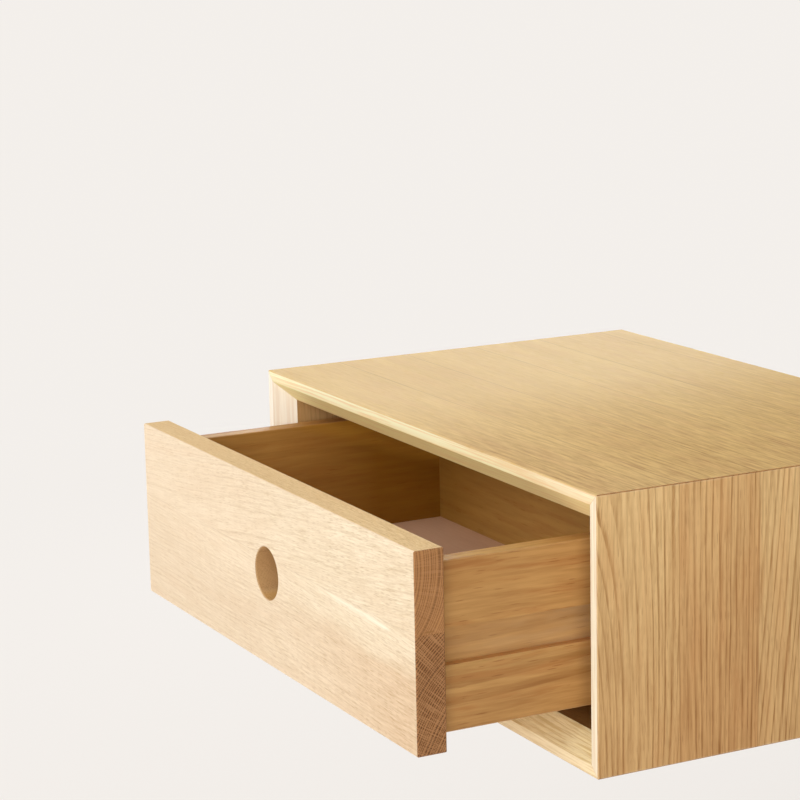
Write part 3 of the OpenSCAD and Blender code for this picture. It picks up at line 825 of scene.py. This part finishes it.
# %% The pine recipe
PINE = {
    "light": (0.50, 0.275, 0.092), "dark": (0.30, 0.135, 0.038), "blush": (0.36, 0.145, 0.040),
    "canal": (0.20, 0.065, 0.020), "end": (0.32, 0.165, 0.065), "milled": (0.56, 0.40, 0.23),
    "calm": (0.40, 0.205, 0.066), "ring": 0.0075,
}


def pine_wood(net, point, seed, heart, lean):
    """Colour, height and resin canals of the wood as it was sawn."""
    rings = place(net, ring_group, {
        "Vector": point, "Heart": heart, "Lean": lean, "Ring Width": PINE["ring"], "Seed": seed,
    })
    line = net.times(
        net.smooth(rings["Phase"], 0.15, 0.9), net.smooth(rings["Phase"], 1.0, 0.9),
        net.between(rings["Tone"], 0.05, 0.5),
    )
    streak = net.noise(point, (16.0, 210.0, 210.0), detail=3.0, roughness=0.65)
    fibre = net.noise(point, (45.0, 1000.0, 1000.0))
    cloud = net.noise(point, (6.0, 40.0, 40.0))
    amount = net.plus(
        line, net.stretch(cloud, 0.08, 0.42), net.stretch(streak, -0.34, 0.34),
        net.stretch(fibre, -0.12, 0.12),
    )
    colour = net.blend(amount, PINE["light"], PINE["dark"])
    blush = net.smooth(net.noise(point, (12.0, 130.0, 130.0), detail=3.0, roughness=0.6), 0.50, 0.66)
    colour = net.blend(net.times(blush, 0.6), colour, PINE["blush"])
    canal = pores(net, point, 0.012, 0.0009, net.between(blush, 0.06, 0.5), seed)
    colour = net.blend(net.times(canal, 0.55), colour, PINE["canal"])
    return colour, net.minus(net.times(fibre, 0.3), net.times(canal, 0.5)), canal


# %% [markdown]
# ## The drawer's sides and back
#
# The floor of each groove is greyer and paler than the faces round it, partly the milled wood and
# partly a painted reflection and painted light, which grow towards the case; the floor is painted
# lighter low in the groove and darker, as shade, under its upper edge. The ledge below it is paler
# still, as painted light, and so is a band of the face below the groove towards the case, while the
# face under the top edge has painted shade near the front. The top edges are golden, and lighter at
# the front end. The faces that look into the drawer are deeper and calmer, as painted shade, deepest
# of all in the far left corner; the back has painted light towards the right, and the left side near
# the front and above a slanting line, so the wood there is browner again.

# %% Faces and pine pieces
GROOVE_HALF = 0.0111
TOP_EDGE_FROM = 0.040
# Painted light below the groove, painted shade under the top edge, the top edge's golden tone, painted light on the
# ledge, and the slant above which painted light lies on the left side.
PAINTED_LIGHT_BELOW_GROOVE = (-0.375, -0.310, (1.0, 1.04, 1.05), (1.14, 1.24, 1.34))
PAINTED_SHADE_UNDER_TOP_EDGE = (-0.380, -0.300, (0.85, 0.78, 0.70), WHITE)
TOP_EDGE = (-0.385, -0.300, (1.22, 1.32, 1.10), (1.0, 0.95, 0.80))
PAINTED_LEDGE_LIGHT = (1.48, 1.46, 1.60)
PAINTED_LIGHT_SLANT = {"rise": 0.36, "span": (-0.062, -0.050), "share": 0.8, "tone": (1.42, 1.46, 0.96)}


def inner_face(net, colour, inner, parts, tint, axis, tones):
    """Calmer and deeper by tint, which paints shade inside the drawer. Its tone also fades along one
    axis, over the tones given, as painted light and shade. On the left side, where it fades from
    front to back, the browner painted light begins at a slant."""
    # Painted shade: the inside faces calmer and deeper.
    calm = net.scaled(net.blend(0.5, colour, PINE["calm"]), tint)
    colour = net.blend(inner, colour, calm)
    if not tones:
        return colour
    faded = net.fade(colour, parts[axis], *tones)
    if axis == Y:
        height = net.plus(parts[Z], net.times(parts[Y], PAINTED_LIGHT_SLANT["rise"]))
        above = net.smooth(height, *PAINTED_LIGHT_SLANT["span"], 0.0, PAINTED_LIGHT_SLANT["share"])
        faded = net.blend(above, faded, net.scaled(colour, PAINTED_LIGHT_SLANT["tone"]))
    return net.blend(inner, colour, faded)


def grooved_face(net, colour, outer, upward, point, behind, up):
    """outer masks the face with the groove, and upward the ledge in it and the side's top edge."""
    in_groove = net.times(outer, net.math("LESS_THAN", net.math("ABSOLUTE", up), GROOVE_HALF))
    # The groove's floor turns greyer and paler, partly the milled wood and partly painted reflection and painted
    # light, more towards the case.
    grey = net.times(
        net.smooth(up, -0.010, 0.6 * GROOVE_HALF, 0.25, 0.42), net.linear(behind, -0.380, -0.320, 0.3, 1.0),
        net.linear(net.noise(point, (24.0, 140.0, 140.0)), 0.35, 0.62, 0.45, 1.1),
    )
    milled = net.blend(grey, colour, PINE["milled"])
    # Painted light low in the groove and painted shade under its upper edge.
    milled = net.fade(milled, up, 0.003, -0.009, (0.94, 0.90, 0.82), (1.14, 1.16, 1.15))
    colour = net.blend(in_groove, colour, milled)
    # Painted light on a band below the groove, growing towards the case.
    below = net.times(net.smooth(up, -0.032, -0.016), net.math("LESS_THAN", up, -GROOVE_HALF))
    colour = net.blend(net.times(outer, below), colour, net.fade(colour, behind, *PAINTED_LIGHT_BELOW_GROOVE))
    # Painted shade on the face under the top edge, near the front.
    above = net.times(outer, net.smooth(up, 0.024, 0.038))
    colour = net.blend(above, colour, net.fade(colour, behind, *PAINTED_SHADE_UNDER_TOP_EDGE))
    # Painted light on the groove's upward ledge.
    ledge = net.times(upward, net.math("LESS_THAN", up, 0.0))
    colour = net.blend(ledge, colour, net.scaled(colour, PAINTED_LEDGE_LIGHT))
    top_edge = net.times(upward, net.math("GREATER_THAN", up, TOP_EDGE_FROM))
    return net.blend(top_edge, colour, net.fade(colour, behind, *TOP_EDGE))


def pine_material(node_name, turn, seed, heart, lean, inside=None, tint=None, axis=None, tones=None):
    """inside is the direction of the face that looks into the drawer. On a drawer side the runner
    groove is cut into the opposite face."""
    material, net, shader = start_material("pine_" + node_name)
    place_at, point, facing = grain_point(net, turn, seed, wander=0.004)
    colour, height, canal = pine_wood(net, point, seed, heart, lean)
    if inside:
        parts = net.split(place_at)
        normal = coordinates(net, "Normal")
        toward = net.vector("DOT_PRODUCT", normal, inside).node.outputs["Value"]
        colour = inner_face(net, colour, net.smooth(toward, 0.5, 0.9), parts, tint, axis, tones)
        if inside[X]:
            outer = net.smooth(toward, -0.5, -0.9)
            upward = net.smooth(net.split(normal)[Z], 0.5, 0.9)
            colour = grooved_face(net, colour, outer, upward, point, parts[Y], parts[Z])
    end = end_mask(net, facing)
    colour = net.blend(net.times(end, 0.7), colour, PINE["end"])
    finish_wood(net, shader, node_name, place_at, colour, height, canal, end, 0.5, edge_wear_and_highlight=0.05)
    return material


# A side's or the back's tint and fades paint shade and light on the faces inside the drawer.
pine_looks = {
    "drawer_right_side": ("Y", 11.0, (0.0, -0.26, 0.06), (0.0, 0.0, 0.05), (-1.0, 0.0, 0.0), (0.92, 0.90, 0.56)),
    "drawer_left_side": ("Y", 14.0, (0.0, 0.25, -0.05), (0.0, 0.0, -0.06), (1.0, 0.0, 0.0), (0.86, 0.84, 0.52),
                         Y, (-0.320, -0.235, (1.38, 1.42, 1.75), (0.78, 0.66, 0.26))),
    "drawer_back": ("X", 17.0, (0.0, -0.12, 0.03), (0.0, 0.02, 0.05), (0.0, -1.0, 0.0), (0.95, 1.0, 0.74),
                    X, (-0.160, -0.040, (0.86, 0.79, 0.58), (1.36, 1.44, 1.70))),
    "stop_batten": ("X", 21.0, (0.0, -0.28, 0.0), (0.0, 0.0, 0.02)),
    "upper_rail": ("X", 23.0, (0.0, 0.05, 0.08), (0.0, 0.02, 0.03)),
    "lower_rail": ("X", 27.0, (0.0, 0.06, -0.1), (0.0, 0.02, 0.03)),
}
for node_name, look in pine_looks.items():
    dress(node_name, pine_material(node_name, *look))
print("pine pieces dressed:", len(pine_looks))

# %% [markdown]
# ## Beech, boards, steel and felt
#
# The runners, dowels, tongues and the turn button are beech, a close-grained wood full of short
# dark flecks. The drawer bottom and the back are thin boards with hardly any figure. Screws are
# zinc-plated and the buffers are pressed felt. These pieces hardly show, but each still gets the
# marks that tell its material: flecks, fibres, the zinc's fine spangle and the felt's lint.

# %% The remaining materials
def beech_material(node_name, turn):
    material, net, shader = start_material("beech_" + node_name)
    place_at, point, facing = grain_point(net, turn, 3.0)
    fleck = pores(net, point, 0.0035, 0.0008, 0.5, 3.0)
    cloud = net.noise(point, (8.0, 90.0, 90.0), detail=3.0)
    colour = net.blend(net.stretch(cloud), (0.62, 0.41, 0.24), (0.50, 0.31, 0.17))
    colour = net.blend(net.times(fleck, 0.45), colour, (0.27, 0.13, 0.06))
    end = end_mask(net, facing, 0.6, 0.95, 0.5)
    colour = net.blend(end, colour, (0.34, 0.2, 0.1))
    finish_wood(net, shader, node_name, place_at, colour, net.minus(cloud, fleck), fleck, end, 0.5, edge_wear_and_highlight=0.1)
    return material


def board_material(node_name, light, dark):
    material, net, shader = start_material(node_name + "_board")
    place_at, point = grain_point(net, "X", 4.0)[:2]
    fibre = net.noise(point, (60.0, 700.0, 700.0), detail=3.0)
    cloud = net.noise(point, (6.0, 22.0, 22.0), detail=3.0)
    amount = net.plus(net.stretch(cloud, 0.0, 0.6), net.stretch(fibre, 0.0, 0.4))
    colour = net.blend(amount, light, dark)
    speck = net.stretch(fibre, 0.0, 0.3)
    finish_wood(net, shader, node_name, place_at, colour, fibre, speck, 0.0, 0.5, edge_wear_and_highlight=0.1)
    return material


def steel_material():
    material, net, shader = start_material("zinc_plated_steel")
    spangle = net.noise(coordinates(net, "Object"), (900.0, 900.0, 900.0), detail=3.0)
    colour = net.blend(spangle, (0.62, 0.62, 0.60), (0.46, 0.47, 0.49))
    net.feed(shader, {"Base Color": colour, "Metallic": 1.0, "Roughness": net.stretch(spangle, 0.28, 0.45)})
    return material


def felt_material():
    material, net, shader = start_material("pressed_felt")
    lint = net.noise(coordinates(net, "Object"), (2500.0, 2500.0, 2500.0), detail=4.0, roughness=0.7)
    colour = net.blend(lint, (0.06, 0.055, 0.05), (0.20, 0.18, 0.16))
    bump = net.put("ShaderNodeBump", {"Height": lint, "Strength": 0.6, "Distance": 0.0003})
    net.feed(shader, {"Base Color": colour, "Roughness": 0.95, "Normal": bump.outputs[0]})
    return material


beech_grain = {
    "rail_dowels": "X", "left_runner": "Y", "right_runner": "Y", "corner_splines": "Y",
    "front_dowels": "Y", "turn_button": "Z",
}
for node_name, turn in beech_grain.items():
    dress(node_name, beech_material(node_name, turn))
dress("drawer_bottom", board_material("drawer_bottom", (0.84, 0.57, 0.39), (0.74, 0.48, 0.32)))
dress("back_panel", board_material("back_panel", (0.44, 0.26, 0.11), (0.33, 0.18, 0.075)))
steel = steel_material()
for node_name in ("runner_screws", "batten_screws", "back_screws", "bottom_screws", "button_screw", "button_washer"):
    dress(node_name, steel)
dress("buffer_pads", felt_material())
bare = sorted(name for name, piece in nodes.items() if not piece.data.materials)
print("nodes left without a material:", bare)

# %% [markdown]
# ## Light
#
# Pale oak shows its form only if each face gets a tone of its own. Two large soft boxes stand at
# the right and high in front, and make the drawer front the brightest face. A third hangs over the
# top, a fourth at the left lights the bevels, and a small one behind draws a sheen along the far
# edges. They are big and near, so that no shadow has a hard edge, and all face the object's middle.

# %% Lamps
WARM_WHITE = (1.0, 0.985, 0.965)
LAMP_AIM = Vector((0.0, -0.25, 0.0))
softboxes = {
    "right_softbox": ((2.1, -1.6, 0.45), 1.9, 1.5, 38.0, WARM_WHITE),
    "high_softbox": ((0.1, -2.3, 1.5), 1.9, 1.6, 28.0, WARM_WHITE),
    "top_softbox": ((-0.5, -0.35, 2.1), 1.8, 1.5, 13.0, WARM_WHITE),
    "left_softbox": ((-2.2, -1.3, 0.15), 1.6, 1.0, 14.0, WHITE),
    "back_softbox": ((-1.9, 0.9, 0.4), 0.9, 0.6, 14.0, WHITE),
}
for name, (place_at, width, height, power, colour) in softboxes.items():
    data = bpy.data.lights.new(name, "AREA")
    data.shape = "RECTANGLE"
    data.size, data.size_y = width, height
    data.energy = power
    data.color = colour
    lamp = bpy.data.objects.new(name, data)
    away = Vector(place_at) - LAMP_AIM
    lamp.matrix_world = Matrix.Translation(place_at) @ away.to_track_quat("Z", "Y").to_matrix().to_4x4()
    lamp.visible_camera = False
    bpy.context.scene.collection.objects.link(lamp)
print("lamps:", len(softboxes))

# %% [markdown]
# ## Floor and background
#
# The floor is plain and pale: the camera sees it as a flat tint, while the object still throws its
# shadow and gets its light. A faint warm glow from all round keeps the shaded faces from black.

# %% Surroundings and floor
BACKGROUND = (0.90, 0.865, 0.83)
world = bpy.data.worlds.new("soft_surroundings")
world.use_nodes = True
bpy.context.scene.world = world
world_net = Wiring(world.node_tree)
world.node_tree.nodes.clear()


def seen_share(net):
    """1 for rays that come from the camera, by way of metal or glass too, else 0."""
    path = net.put("ShaderNodeLightPath", {}).outputs
    seen = net.math("MAXIMUM", path["Is Camera Ray"], path["Is Glossy Ray"])
    return net.math("MAXIMUM", seen, path["Is Transmission Ray"])


surround = world_net.put("ShaderNodeBackground", {"Color": (1.0, 0.95, 0.88), "Strength": 0.22})
tint = world_net.put("ShaderNodeBackground", {"Color": BACKGROUND, "Strength": 1.0})
mixed = world_net.put("ShaderNodeMixShader", {
    0: seen_share(world_net), 1: surround.outputs[0], 2: tint.outputs[0],
})
world_net.put("ShaderNodeOutputWorld", {"Surface": mixed.outputs[0]})

FLOOR_Z = -0.45
FLOOR_HALF = 6.0
FLOOR_FADE = (0.4, 2.5)
floor_mesh = bpy.data.meshes.new("floor")
corners = [(FLOOR_HALF * x, FLOOR_HALF * y, FLOOR_Z) for x, y in ((-1, -1), (1, -1), (1, 1), (-1, 1))]
floor_mesh.from_pydata(corners, [], [(0, 1, 2, 3)])
floor = bpy.data.objects.new("floor", floor_mesh)
bpy.context.scene.collection.objects.link(floor)
floor_material, floor_net, floor_shader = start_material("plain_floor")
floor_net.feed(floor_shader, {"Base Color": BACKGROUND, "Roughness": 0.9})
floor_distance = floor_net.vector("LENGTH", coordinates(floor_net, "Object")).node.outputs["Value"]
flat_share = floor_net.smooth(floor_distance, *FLOOR_FADE, 0.75, 1.0)
flat_tint = floor_net.put("ShaderNodeEmission", {"Color": BACKGROUND, "Strength": 1.0})
floor_mix = floor_net.put("ShaderNodeMixShader", {
    0: floor_net.times(seen_share(floor_net), flat_share),
    1: floor_shader.outputs[0], 2: flat_tint.outputs[0],
})
floor_net.feed(floor_material.node_tree.get_output_node("ALL"), {"Surface": floor_mix.outputs[0]})
floor_mesh.materials.append(floor_material)

bpy.context.scene.view_settings.view_transform = "Standard"
print("floor at a height of", FLOOR_Z, "m")
